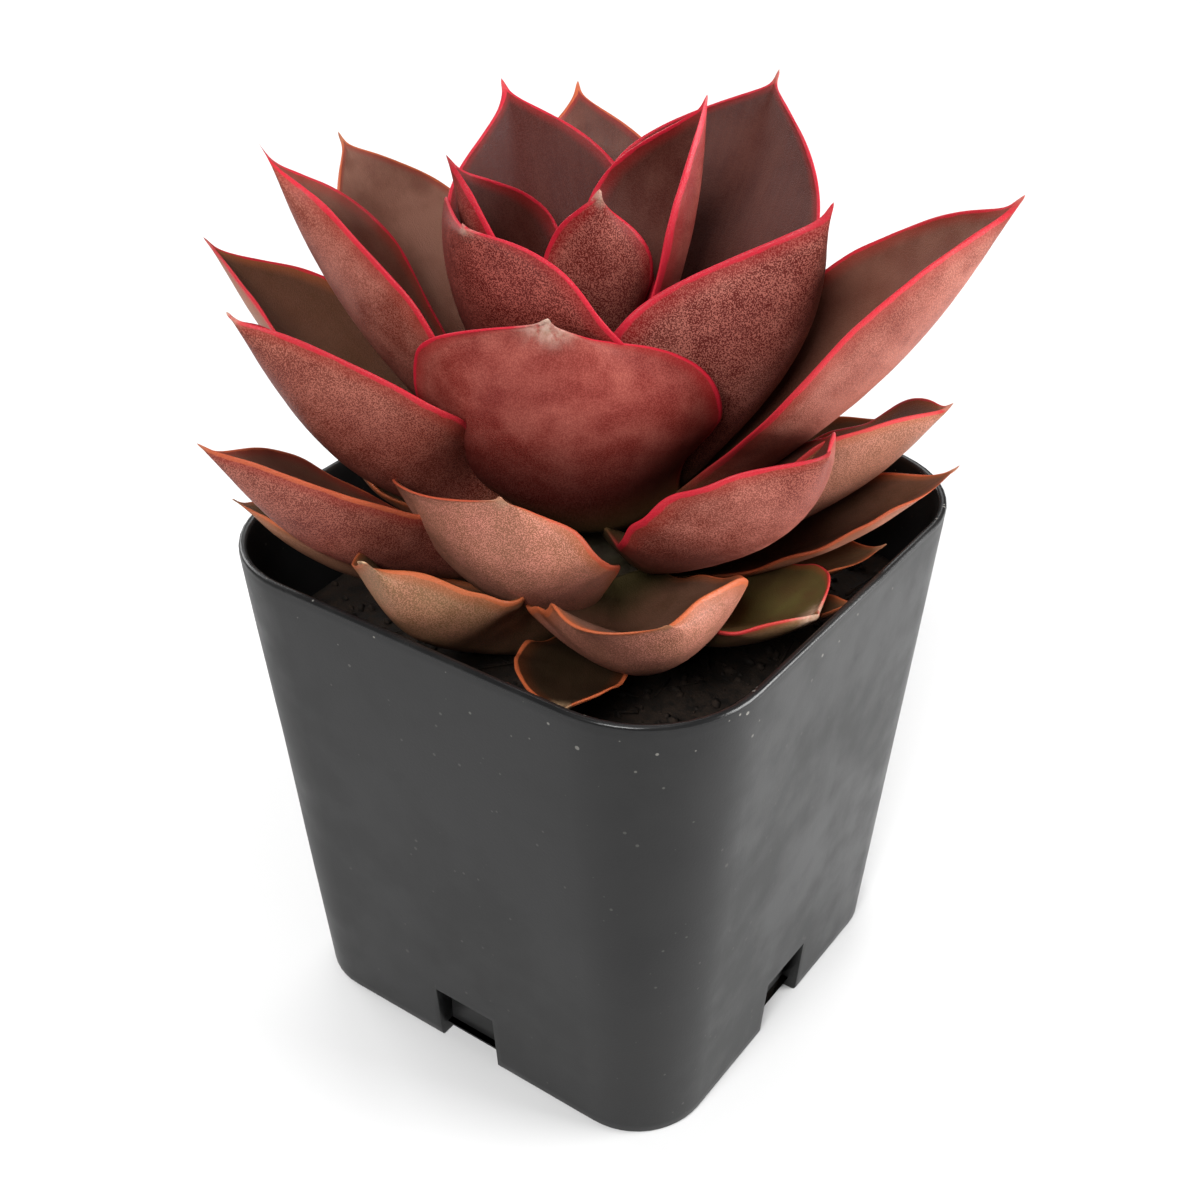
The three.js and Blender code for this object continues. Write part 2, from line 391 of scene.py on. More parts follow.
class PotShape:
    """The rounded square that the pot follows, read off the CAD pot at its foot and its rim."""

    def __init__(self):
        low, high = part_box("pot")
        self.height = high.z
        corners = [v.co for v in frame["nodes"]["pot"].data.vertices]
        self.levels = []
        for z in (low.z, high.z):
            level = [c for c in corners if abs(c.z - z) < NEAR]
            half = max(c.x for c in level)
            flat = max(abs(c.y) for c in level if c.x > half - NEAR)
            self.levels.append((half, half - flat))

    def half(self, z):
        return self.levels[0][0] + (self.levels[1][0] - self.levels[0][0]) * z / self.height

    def radius(self, z):
        return self.levels[0][1] + (self.levels[1][1] - self.levels[0][1]) * z / self.height

    def place(self, bm, ring, z, inset, marks, scale=1.0):
        """Moves a ring's vertices onto the rounded square at a height. Marks are the places along
        each flat side that have a vertex of their own."""
        half, radius = self.half(z) - inset, max(self.radius(z) - inset, 0.2 * MM)
        straight = half - radius
        flats = [-straight, *marks, straight]
        per_side = len(flats) + CORNER_STEPS - 1
        for i, vert in enumerate(ring):
            side, j = divmod(i, per_side)
            out, along = side_axes(side)
            if j < len(flats):
                spot = out * half + along * flats[j]
            else:
                angle = (j - len(flats) + 1) / CORNER_STEPS * math.pi / 2
                turned = out * math.cos(angle) + along * math.sin(angle)
                spot = (out + along) * straight + turned * radius
            vert.co = (spot.x * scale, spot.y * scale, z)

    def start(self, bm, marks):
        total = 4 * (len(marks) + 2 + CORNER_STEPS - 1)
        return bmesh.ops.create_circle(bm, segments=total, radius=self.half(0))["verts"]


def side_axes(side):
    """The outward and sideways directions of one of the pot's four sides, the -Y side first."""
    angle = (side - 1) * math.pi / 2
    cos, sin = math.cos(angle), math.sin(angle)
    return Vector((cos, sin, 0)), Vector((-sin, cos, 0))


def push_region(bm, side, half_width, low, high, outer, plane):
    """Pushes the faces of one side's foot, inside a width and between two heights, to a plane.
    Outer says whether the outer or the inner wall is meant."""
    out, along = side_axes(side)
    faces = []
    for face in bm.faces:
        middle = face.calc_center_median()
        reach = all(
            abs(v.co.dot(along)) < half_width + NEAR
            and low - CLOSE < v.co.z < high + CLOSE
            and v.co.dot(out) > plane - NEAR
            for v in face.verts
        )
        facing = face.normal.dot(out) if abs(face.normal.z) < 0.9 else -face.normal.z
        if reach and middle.dot(out) > 0 and (facing > 0) == outer:
            faces.append(face)
    grown = bmesh.ops.extrude_face_region(bm, geom=faces)["geom"]
    bmesh.ops.delete(bm, geom=[f for f in faces if f.is_valid], context="FACES")
    for vert in grown:
        if isinstance(vert, bmesh.types.BMVert):
            vert.co += out * (plane - vert.co.dot(out))


def make_pot(settings):
    shape, bm = PotShape(), bmesh.new()
    rim, wall, floor = shape.height, settings.wall, settings.floor
    niche, top = settings.niche_width / 2, settings.niche_height
    collar = niche + 0.8 * MM
    right_marks = (niche, collar, *FLAT_MARKS)
    marks = [-m for m in reversed(right_marks)] + list(right_marks)
    sill, waist = floor + 0.2 * MM, top * 0.6
    back = settings.niche_depth - 0.6 * MM
    sides = [z * MM for z in SIDE_ROWS]
    profile = [(0, back), (0, 0.55 * MM), (0.08 * MM, 0.2 * MM), (0.4 * MM, 0)]
    profile += [(z, 0) for z in (sill, waist, top, top + 0.8 * MM, *sides)]
    profile += [(rim - 0.45 * MM, 0), (rim - 0.14 * MM, 0.09 * MM), (rim, 0.3 * MM)]
    profile += [(rim, wall - 0.3 * MM), (rim - 0.14 * MM, wall - 0.09 * MM)]
    profile += [(rim - 0.45 * MM, wall)]
    profile += [(z, wall) for z in (*reversed(sides), top + 0.8 * MM, top, waist, sill, floor)]
    profile += [(floor, settings.niche_depth)]
    ring = shape.start(bm, marks)
    rings = [ring]
    for _ in profile[1:]:
        rings.append(grow_ring(bm, rings[-1]))
    for ring, (z, inset) in zip(rings, profile):
        shape.place(bm, ring, z, inset, marks)
    close_ends(bm, rings)
    planes = (shape.half(0) - back, shape.half(floor) - settings.niche_depth)
    for side in range(4):
        push_region(bm, side, niche, 0, top, True, planes[0])
        push_region(bm, side, collar, floor, top + 0.8 * MM, False, planes[1])
    bmesh.ops.remove_doubles(bm, verts=bm.verts, dist=2e-6)
    bmesh.ops.dissolve_degenerate(bm, edges=bm.edges, dist=CLOSE)
    bmesh.ops.recalc_face_normals(bm, faces=bm.faces)
    for vert in bm.verts:
        rise = min(max((vert.co.z - 12 * MM) / (20 * MM), 0), 1)
        out = Vector((vert.co.x, vert.co.y, 0)).normalized()
        vert.co += out * settings.warp * rise * (wander(vert.co, 22 * MM) - 0.25)
    return bm


def pot_material(settings):
    material, tree, shader = new_material("Pot Plastic", **{"Specular IOR Level": 0.23})
    place = object_place(tree)
    height = add(tree, "ShaderNodeSeparateXYZ", {0: place}).outputs[2]
    dust = dusting(tree, place, 520.0, settings.dust)
    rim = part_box("pot")[1].z
    near_rim = eased(tree, height, rim - 9 * MM, rim, 0.25, 1.0)
    dust = times(tree, dust, near_rim)
    patches = mottle(tree, place, 60.0)
    worn = (0.022, 0.022, 0.0215)
    tinted = mixed(tree, times(tree, patches, 0.35), settings.plastic, worn)
    tree.links.new(mixed(tree, dust, tinted, (0.30, 0.29, 0.26)), shader.inputs["Base Color"])
    rough = plus(tree, times(tree, patches, 0.16), 0.34)
    lip = eased(tree, height, rim - 0.8 * MM, rim - 0.3 * MM, 0.0, 0.16)
    rough = plus(tree, minus(tree, rough, lip), times(tree, dust, 0.3))
    tree.links.new(rough, shader.inputs["Roughness"])
    skin = grain(tree, place, 3500.0, 2.0, 0.6)
    swell = grain(tree, place, 90.0, 1.0, 0.5)
    bump(tree, shader, plus(tree, skin, times(tree, swell, 3.0)), 0.012 * MM, 0.7)
    return material


# ---- potting mix ---------------------------------------------------------------------------
MIX_STEPS = 44  # steps across the surface, from its edge to its middle


def scatter(rng, shape, z, inset):
    """A random place inside the rounded square."""
    half, radius = shape.half(z) - inset, shape.radius(z) - inset
    while True:
        x, y = rng.uniform(-half, half), rng.uniform(-half, half)
        over = Vector((max(abs(x) - half + radius, 0), max(abs(y) - half + radius, 0)))
        if over.length < radius:
            return x, y


def mix_height(settings, x, y, top):
    crown = 1.6 * MM * max(1 - math.hypot(x, y) / (22 * MM), 0)
    place = (x, y, 0)
    lumps = 0.6 * wander(place, 3.2 * MM, 1) + 0.4 * wander(place, 1.1 * MM, 2)
    return top + crown * 0.7 + settings.lump * (lumps - 0.2)


def make_mix(settings):
    shape, bm, rng = PotShape(), bmesh.new(), random.Random(11)
    low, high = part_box("potting_mix")
    top = high.z - 1.2 * MM
    collar, ledge = 5.2 * MM, 9.1 * MM  # half the width and the height of what clears a drain niche
    wide, middle = FLAT_MARKS
    marks = [-middle, -wide, -collar, 0, collar, wide, middle]
    levels = [(low.z, 1.1 * MM), (ledge, 1.1 * MM), (24 * MM, 1.1 * MM), (top, 1.0 * MM)]
    rings = [shape.start(bm, marks)]
    for z, inset in levels:
        shape.place(bm, rings[-1], z, inset, marks)
        rings.append(grow_ring(bm, rings[-1]))
    for i in range(1, MIX_STEPS):
        shape.place(bm, rings[-1], top, 1.0 * MM, marks, 1 - i / MIX_STEPS)
        rings.append(grow_ring(bm, rings[-1]))
    shape.place(bm, rings[-1], top, 1.0 * MM, marks, 0.25 / MIX_STEPS)
    close_ends(bm, rings)
    for side in range(4):
        push_region(bm, side, collar, low.z, ledge, True, shape.half(0) - 3.1 * MM)
    bmesh.ops.remove_doubles(bm, verts=bm.verts, dist=CLOSE)
    for vert in bm.verts:
        if vert.co.z > top - CLOSE:
            vert.co.z = mix_height(settings, vert.co.x, vert.co.y, top)
    for _ in range(settings.grains):
        x, y = scatter(rng, shape, top, 1.8 * MM)
        size = rng.uniform(0.25, 0.85) ** 1.5 * MM
        z = mix_height(settings, x, y, top) + 0.3 * size
        turn = Matrix.Rotation(rng.uniform(0, 6.3), 4, Vector((rng.random(), rng.random(), 1)))
        stretch = Matrix.Diagonal((1, rng.uniform(0.5, 1), rng.uniform(0.4, 0.9), 1))
        matrix = Matrix.Translation((x, y, z)) @ turn @ stretch
        made = bmesh.ops.create_icosphere(bm, subdivisions=1, radius=size, matrix=matrix)
        for vert in made["verts"]:
            vert.co += Vector([rng.uniform(-1, 1) for _ in range(3)]) * size * 0.16
    for _ in range(settings.twigs):
        x, y = scatter(rng, shape, top, 4 * MM)
        z = mix_height(settings, x, y, top) + 0.35 * MM
        turn = Matrix.Rotation(rng.uniform(0, 6.3), 4, "Z")
        turn = turn @ Matrix.Rotation(rng.uniform(1.35, 1.6), 4, "X")
        bmesh.ops.create_cone(
            bm, cap_ends=True, segments=6, radius1=rng.uniform(0.1, 0.28) * MM, radius2=0.07 * MM,
            depth=rng.uniform(2.0, 6.0) * MM, matrix=Matrix.Translation((x, y, z)) @ turn,
        )
    return bm


def mix_material(settings):
    material, tree, shader = new_material("Potting Mix", **{"Specular IOR Level": 0.25})
    place = object_place(tree)
    patches = mottle(tree, place, 700.0)
    dust = dusting(tree, place, 700.0, 0.8)
    brown = mixed(tree, patches, settings.peat, (0.024, 0.015, 0.010))
    tree.links.new(mixed(tree, dust, brown, settings.grit), shader.inputs["Base Color"])
    tree.links.new(eased(tree, patches, 0, 1, 0.75, 0.95), shader.inputs["Roughness"])
    bump(tree, shader, grain(tree, place, 2600.0, 4.0, 0.7), 0.12 * MM, 0.9)
    return material


# ---- stem ----------------------------------------------------------------------------------
STEM_ROUND = 28  # vertices round the stem
STEM_ROWS = 60  # steps up it


def make_stem(settings):
    """A knobbly stem, ringed by the scars of fallen leaves."""
    low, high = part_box("stem")
    bm = bmesh.new()
    ring = bmesh.ops.create_circle(bm, segments=STEM_ROUND, radius=1 * MM)["verts"]
    widest = high.x + settings.growth
    rings = [ring]
    for _ in range(STEM_ROWS):
        rings.append(grow_ring(bm, rings[-1]))
    for i, ring in enumerate(rings):
        t = i / STEM_ROWS
        z = low.z + (high.z - low.z) * t
        body = widest * min(0.62 + 1.6 * t, 1.0) * (1 - max(t - 0.45, 0) / 0.62) ** 0.8
        for k, vert in enumerate(ring):
            angle = 2 * math.pi * k / len(ring)
            scar = 0.5 + 0.5 * math.cos(2 * math.pi * (z / (1.9 * MM) + angle * 3 / (2 * math.pi)))
            spot = (math.cos(angle) * 4 * MM, math.sin(angle) * 4 * MM, z)
            radius = body * (1 + 0.07 * scar + 0.12 * wander(spot, 2.5 * MM, 5))
            vert.co = (math.cos(angle) * radius, math.sin(angle) * radius, z)
    close_ends(bm, rings)
    return bm


def stem_material(settings):
    material, tree, shader = new_material("Stem Bark", **{"Specular IOR Level": 0.3})
    place = object_place(tree)
    height = add(tree, "ShaderNodeSeparateXYZ", {0: place}).outputs[2]
    low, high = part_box("stem")
    young = eased(tree, height, low.z + 0.35 * (high.z - low.z), low.z + 0.7 * (high.z - low.z))
    patches = mottle(tree, place, 500.0)
    base = mixed(tree, young, settings.bark, settings.green)
    # patches towards near-black brown: partly bark colour, partly painted shade for the gap between
    # the leaves
    tree.links.new(mixed(tree, patches, base, (0.03, 0.02, 0.012)), shader.inputs["Base Color"])
    tree.links.new(eased(tree, patches, 0, 1, 0.65, 0.9), shader.inputs["Roughness"])
    bump(tree, shader, grain(tree, place, 1800.0, 4.0, 0.65), 0.1 * MM, 0.8)
    return material


# ---- leaves --------------------------------------------------------------------------------
LEAF_ROUND = 40  # vertices round a leaf
LEAF_ROWS = 52  # steps along it

# How a leaf differs from the plain form of its age. In shape, wide, long, cup and plump are factors
# on the CAD leaf's width, length, cup and thickness. Foot is its foot's width as a share of the
# greatest, and lobe the share by which its anticlockwise half is wider and the other narrower.
# Fullness rounds its outline and fall draws its tip out. Roll lifts its anticlockwise edge, in
# degrees. Sag, rise of the tip, wave and the radius of the spur are in millimetres. In looks, red,
# green, speckle, dark and dried are shares, and pale and edge are strengths that may go over 1.
# Dark is painted shade: it mixes all of a leaf but its edge line towards black, where the leaf
# lies in the shade of other leaves.
LOOKS = ("red", "green", "pale", "speckle", "dark", "edge")
PLAIN_LEAF = {
    "leaf_young": dict(
        red=0.85, green=0.0, pale=0.35, speckle=0.7, dark=0.0, edge=1.0, dried=0.15, wave=0.2),
    "leaf_mature": dict(
        red=0.45, green=0.05, pale=0.45, speckle=0.5, dark=0.0, edge=0.7, dried=0.35, wave=0.35),
    "leaf_old": dict(
        red=0.15, green=0.3, pale=0.6, speckle=0.5, dark=0.1, edge=0.5, dried=0.7, wave=0.5),
}
PLAIN_SHAPE = dict(
    wide=1.08, long=1.0, foot=0.38, lobe=0.0, fullness=2.2, fall=1.15, cup=1.0, roll=0, sag=0,
    rise=0, plump=1.0, spur=0.42,
)
LEAF_FORMS = {
    "leaf_front_bowl": dict(
        wide=1.07, foot=0.62, fullness=3.2, fall=0.62, roll=9, wave=0.15, red=1.0, pale=0.55,
        speckle=0.3, dried=1.0, spur=1.5, plump=1.1),
    "leaf_inner_left": dict(
        wide=1.27, lobe=-0.15, foot=0.5, fullness=2.9, fall=0.75, red=1.0, pale=0.15, speckle=1.0,
        dark=0.05, dried=0.6),
    "leaf_right_inner": dict(
        wide=1.25, fall=1.4, cup=1.2, sag=2.5, foot=0.5, red=0.6, pale=1.1, speckle=0.9),
    "leaf_heart_front": dict(
        long=1.14, wide=1.18, red=0.8, pale=0.6, speckle=0.9, dried=0.8, spur=0.6),
    "leaf_heart_back": dict(wide=1.1, red=1.0, pale=0.3),
    "leaf_inner_folded": dict(
        wide=0.88, lobe=0.35, roll=12, fall=1.3, red=0.9, pale=0.7, speckle=0.3, dark=0.1),
    "leaf_inner_back_left": dict(fall=1.5, red=0.8, dark=0.1),
    "leaf_back_right": dict(wide=1.12, fullness=2.5, fall=1.25, red=0.6, pale=0.3, dried=0.6),
    "leaf_back_centre": dict(wide=1.04, fall=1.3, red=1.0, pale=0.1),
    "leaf_back_far": dict(wide=1.04, red=0.2, pale=0.6, edge=0.7),
    "leaf_left_upper": dict(
        wide=1.32, roll=10, cup=1.6, rise=1.8, fall=1.35, red=0.7, pale=1.1, edge=0.9, dried=0.1),
    "leaf_left_big": dict(
        sag=3.0, roll=2, lobe=0.12, fall=1.1, red=0.7, speckle=0.9, dried=1.0, spur=0.55),
    "leaf_left_back": dict(roll=10, red=0.7, green=0.0, pale=0.3, edge=0.9, dried=0.4),
    "leaf_right_long": dict(
        wide=1.12, roll=-4, cup=1.25, fullness=2.5, fall=1.3, red=0.5, pale=1.0, edge=0.9,
        dried=0.3),
    "leaf_low_left": dict(
        wide=1.02, roll=15, cup=1.1, sag=2.8, fall=1.2, red=0.2, pale=0.7, speckle=0.9, edge=0.4,
        dark=0.1),
    "leaf_low_front_left": dict(
        wide=1.3, lobe=-0.3, plump=1.35, fullness=3.2, fall=0.68, wave=0.7, red=0.3, green=0.0,
        pale=1.3, speckle=0.8, edge=0.6, dark=0.0, dried=0.6),
    "leaf_low_front_right": dict(
        wide=1.1, roll=13, plump=1.3, foot=0.6, fullness=2.5, fall=0.9, wave=0.5, red=0.6,
        green=0.0, pale=0.9, speckle=0.7, edge=0.8, dried=0.1, sag=0.8),
    "leaf_low_right": dict(
        wide=1.3, roll=-20, fullness=2.6, fall=0.9, red=0.5, green=0.0, pale=0.7, speckle=0.8,
        edge=0.7, dried=0.8),
    "leaf_low_far_right": dict(red=0.25, green=0.0),
    "leaf_foot_front": dict(
        wide=1.25, lobe=0.05, plump=1.8, cup=1.3, fullness=2.8, fall=0.8, wave=0.8, red=0.05,
        green=0.0, pale=1.1, speckle=0.8, edge=0.7, dried=0.5, sag=1.0),
    "leaf_foot_front_left": dict(
        wide=1.25, plump=1.8, roll=8, sag=0.8, wave=0.9, red=0.1, green=0.5, speckle=0.9,
        dried=1.0, edge=0.4, spur=0.7),
    "leaf_foot_right": dict(
        wide=1.2, plump=1.4, fullness=3.2, fall=0.55, red=0.6, green=0.9, pale=0.5, edge=0.6,
        dried=1.0, spur=1.4),
    "leaf_foot_folded": dict(
        wide=1.4, long=0.92, cup=0.5, rise=-1.6, fullness=2.6, fall=0.8, wave=0.6, red=0.0,
        green=0.2, pale=0.3, dark=0.75, edge=1.3, dried=1.0, spur=0.9),
    "leaf_back_left": dict(
        wide=1.25, long=1.04, rise=0.8, fullness=2.7, red=0.1, pale=1.6, edge=0.6),
}


def leaf_form(name, slot):
    return {**PLAIN_SHAPE, **PLAIN_LEAF[slot], **LEAF_FORMS.get(name, {})}


def width_share(s, form):
    """Half width along a leaf as a share of the greatest, from foot (0) to tip (1)."""
    widest = 0.58
    swell = np.sin(np.pi / 2 * np.clip(s / widest, 0, 1)) ** 1.8
    rising = form["foot"] + (1 - form["foot"]) * swell
    u = np.clip((s - widest) / (1 - widest), 0, 1)
    falling = np.maximum(1 - u ** form["fullness"], 0) ** form["fall"]
    return np.where(s < widest, rising, falling)


def thickness_share(s):
    """Thickness along a leaf as a share of the greatest."""
    return np.minimum(1, 4 * s + 0.45) * (1 - 0.55 * s) * np.maximum(1 - s**6, 0) ** 0.7


class LeafFrame:
    """The centre line and the sideways and upward directions of a CAD leaf, with its greatest half
    width and thickness and its cup. They are read off its sections, which are rings of vertices
    between its foot and its tip."""

    def __init__(self, node):
        bm = bmesh.new()
        bm.from_mesh(node.data)
        bmesh.ops.remove_doubles(bm, verts=bm.verts, dist=CLOSE)
        rings = self.sections(bm)
        widest = max(range(1, len(rings) - 1), key=lambda i: self.span(rings[i])[0])
        _, first = self.span(rings[widest])
        ahead = rings[-1][0] - rings[0][0]
        ring = rings[widest]
        middle = sum(ring, Vector()) / len(ring)
        edges = [ring[i] - middle for i in (first, first + len(ring) // 2)]
        edge = max(edges, key=Vector((-ahead.y, ahead.x, 0)).dot)  # the anticlockwise one
        centre, across, up = [rings[0][0]], [], []
        sizes = {}
        for i, ring in enumerate(rings[1:-1], 1):
            middle = sum(ring, Vector()) / len(ring)
            outward = [(v - middle).normalized().dot(edge.normalized()) for v in ring]
            k = max(range(len(ring)), key=outward.__getitem__)
            quarter = len(ring) // 4
            right, left = ring[k], ring[(k + 2 * quarter) % len(ring)]
            one, other = ring[(k + quarter) % len(ring)], ring[(k - quarter) % len(ring)]
            rise = (right + left) / 2 - (one + other) / 2
            top, under = (one, other) if (one - other).dot(rise) > 0 else (other, one)
            spine = top.lerp(under, 0.28)
            centre.append(spine)
            across.append((right - left).normalized())
            up.append((top - under).normalized())
            lift = ((right + left) / 2 - spine).dot(up[-1])
            sizes[i] = ((right - left).length / 2, lift, (top - under).length)
        centre.append(rings[-1][0])
        steps = len(rings) - 1
        s = np.arange(steps + 1) / steps
        self.centre = [np.polyfit(s, [c[a] for c in centre], 5) for a in range(3)]
        self.across = [np.polyfit(s[1:-1], [c[a] for c in across], 3) for a in range(3)]
        self.up = [np.polyfit(s[1:-1], [c[a] for c in up], 3) for a in range(3)]
        at = widest / steps
        half, lift, thick = sizes[widest]
        self.half = half
        self.thick = thick / float(thickness_share(np.array(at)))
        self.cup = lift / half
        bm.free()

    @staticmethod
    def sections(bm):
        """The rings of vertices from the foot to the tip, each in order round the leaf."""
        poles = sorted((v for v in bm.verts if len(v.link_edges) >= 11), key=lambda v: v.co.z)
        if len(poles) != 2:
            raise RuntimeError(f"a leaf has {len(poles)} ends, and not two")
        level, rings = {poles[0]: 0}, [[poles[0]]]
        while True:
            nearby = [e.other_vert(v) for v in rings[-1] for e in v.link_edges]
            fresh = list(dict.fromkeys(v for v in nearby if v not in level))
            if not fresh:
                return [[v.co.copy() for v in ring] for ring in rings]
            for v in fresh:
                level[v] = len(rings)
            ordered, left = [fresh[0]], set(fresh[1:])
            while left:
                following = [e.other_vert(ordered[-1]) for e in ordered[-1].link_edges]
                ordered.append(next(v for v in following if v in left))
                left.remove(ordered[-1])
            rings.append(ordered)

    @staticmethod
    def span(ring):
        """The greatest distance across a ring, and where round it that starts."""
        half = len(ring) // 2
        return max(((ring[i] - ring[i + half]).length, i) for i in range(half))

    def at(self, s):
        """The centre and the unit sideways and upward directions at each place along the leaf."""
        found = []
        for curves in (self.centre, self.across, self.up):
            found.append(np.stack([np.polyval(c, s) for c in curves], axis=-1))
        for i in (1, 2):
            found[i] /= np.linalg.norm(found[i], axis=-1, keepdims=True)
        return found


def smooth_step(x, low, high):
    t = np.clip((x - low) / (high - low), 0, 1)
    return t * t * (3 - 2 * t)


def make_leaf(name, form, settings, seed):
    """A fleshy leaf: a sphere drawn out along the CAD leaf's centre line, thin and ridged at its
    edges, with a hard spur at its tip."""
    leaf = LeafFrame(frame["nodes"][name])
    bm = bmesh.new()
    bmesh.ops.create_uvsphere(bm, u_segments=LEAF_ROUND, v_segments=LEAF_ROWS, radius=1)
    unit = np.array([v.co for v in bm.verts])
    t = np.arccos(np.clip(unit[:, 2], -1, 1)) / np.pi
    s = 1 - (1 - t) ** 1.15
    turn = np.arctan2(unit[:, 1], unit[:, 0])
    turn = turn - 0.22 * np.sin(2 * turn)
    a, side = np.cos(turn), np.sin(turn)
    pole = np.hypot(unit[:, 0], unit[:, 1]) < 1e-6
    a[pole], side[pole] = 0, 0

    spur = settings.spur
    blade = np.clip(s / (1 - spur), 0, 1)
    half = leaf.half * form["wide"] * width_share(blade, form) * (1 + form["lobe"] * np.tanh(3 * a))
    point = form["spur"] * MM * np.clip((1 - s) / (2.2 * spur), 0, 1) ** 0.7
    heel = np.sqrt(np.clip(1 - (1 - np.clip(s / 0.03, 0, 1)) ** 2, 0, 1))
    half = np.hypot(half, np.where(s > 0.5, point, 0)) * heel
    lean = np.array(
        [wander((x * 2.2, 0, 0), 1, seed) + 0.5 * wander((x * 6, 1, 0), 1, seed) for x in s]
    )
    half = half * (1 + 0.035 * lean * a)

    thick = form["plump"] * leaf.thick * thickness_share(np.minimum(s, 0.985))
    thick = np.maximum(thick, 0.75 * point * (s > 0.5))
    thick = thick * np.sqrt(np.clip(1 - ((s - 0.985) / 0.015).clip(0, 1) ** 2, 0, 1))
    body = np.sign(side) * np.abs(side) ** 1.35 * np.where(side < 0, 0.72, 0.28) * thick
    lift = leaf.cup * form["cup"] * half * np.abs(a) ** 1.8
    wave = np.array([wander((x * 7, np.sign(y) * 5, 0), 1, seed) for x, y in zip(s, a)])
    wave = form["wave"] * MM * wave * np.abs(a) ** 3
    lift += wave * smooth_step(s, 0.15, 0.5) * smooth_step(1 - s, 0.02, 0.2) * 1.6
    channel = 0.22 * thick * np.exp(-((a / 0.3) ** 2)) * (side > 0)

    centre, across, up = leaf.at(s)
    roll = math.radians(form["roll"]) * smooth_step(s, 0.0, 0.3)[:, None]
    cos, sin = np.cos(roll), np.sin(roll)
    across, up = across * cos + up * sin, up * cos - across * sin
    sag = form["sag"] * np.sin(np.pi * s) ** 1.5
    centre[:, 2] += MM * (form["rise"] * smooth_step(s, 0.4, 1.0) - sag)
    foot = centre[np.argmin(s)]
    centre = foot + (centre - foot) * form["long"]
    height = lift + body - channel * np.abs(side)
    co = centre + across * (half * a)[:, None] + up * height[:, None]
    for vert, place in zip(bm.verts, co):
        vert.co = place
    bmesh.ops.recalc_face_normals(bm, faces=bm.faces)
    bm.normal_update()

    rim = (1 - np.abs(a)) * half
    rim[pole] = 0
    tip = co[np.argmax(s)]
    from_tip = np.linalg.norm(co - tip, axis=1)
    dried = form["dried"] * (
        1 - smooth_step(from_tip, 0.5 * MM, (1.2 + 1.6 * form["spur"]) * MM)
    )
    ridge = settings.ridge * np.exp(-((rim / settings.ridge_width) ** 2))
    ridge = ridge * smooth_step(half, 0.5 * MM, 3 * MM)
    for i, vert in enumerate(bm.verts):
        skin = 0.05 * MM * wander(vert.co, 2.2 * MM, seed)
        skin += 0.012 * MM * wander(vert.co, 0.7 * MM, seed + 1)
        crumb = dried[i] * 0.28 * MM * wander(vert.co, 0.6 * MM, seed + 2)
        vert.co += vert.normal * (ridge[i] + skin * smooth_step(half[i], 0.4 * MM, 2 * MM) + crumb)

    values = {
        "along": s,
        "across": a * half / MM,
        "rim": rim / MM,
        "upper": smooth_step(side, -0.25, 0.25),
        "dried": dried,
        "seed": np.full(len(s), seed),
    }
    for key in LOOKS:
        values[key] = np.full(len(s), form[key])
    for key, numbers in values.items():
        layer = bm.verts.layers.float.new("leaf_" + key)
        for vert, number in zip(bm.verts, numbers):
            vert[layer] = float(number)
    return bm


LEAF_PALETTES = {
    "leaf_young": dict(
        band=(0.24, 0.008, 0.010), upper=(0.034, 0.006, 0.004),
        under=(0.23, 0.024, 0.018), deep=(0.045, 0.003, 0.002),
    ),
    "leaf_mature": dict(
        band=(0.22, 0.018, 0.011), upper=(0.080, 0.026, 0.016),
        under=(0.25, 0.056, 0.036), deep=(0.070, 0.006, 0.004),
    ),
    "leaf_old": dict(
        band=(0.28, 0.070, 0.022), upper=(0.045, 0.022, 0.010),
        under=(0.46, 0.210, 0.130), deep=(0.10, 0.032, 0.015),
    ),
}


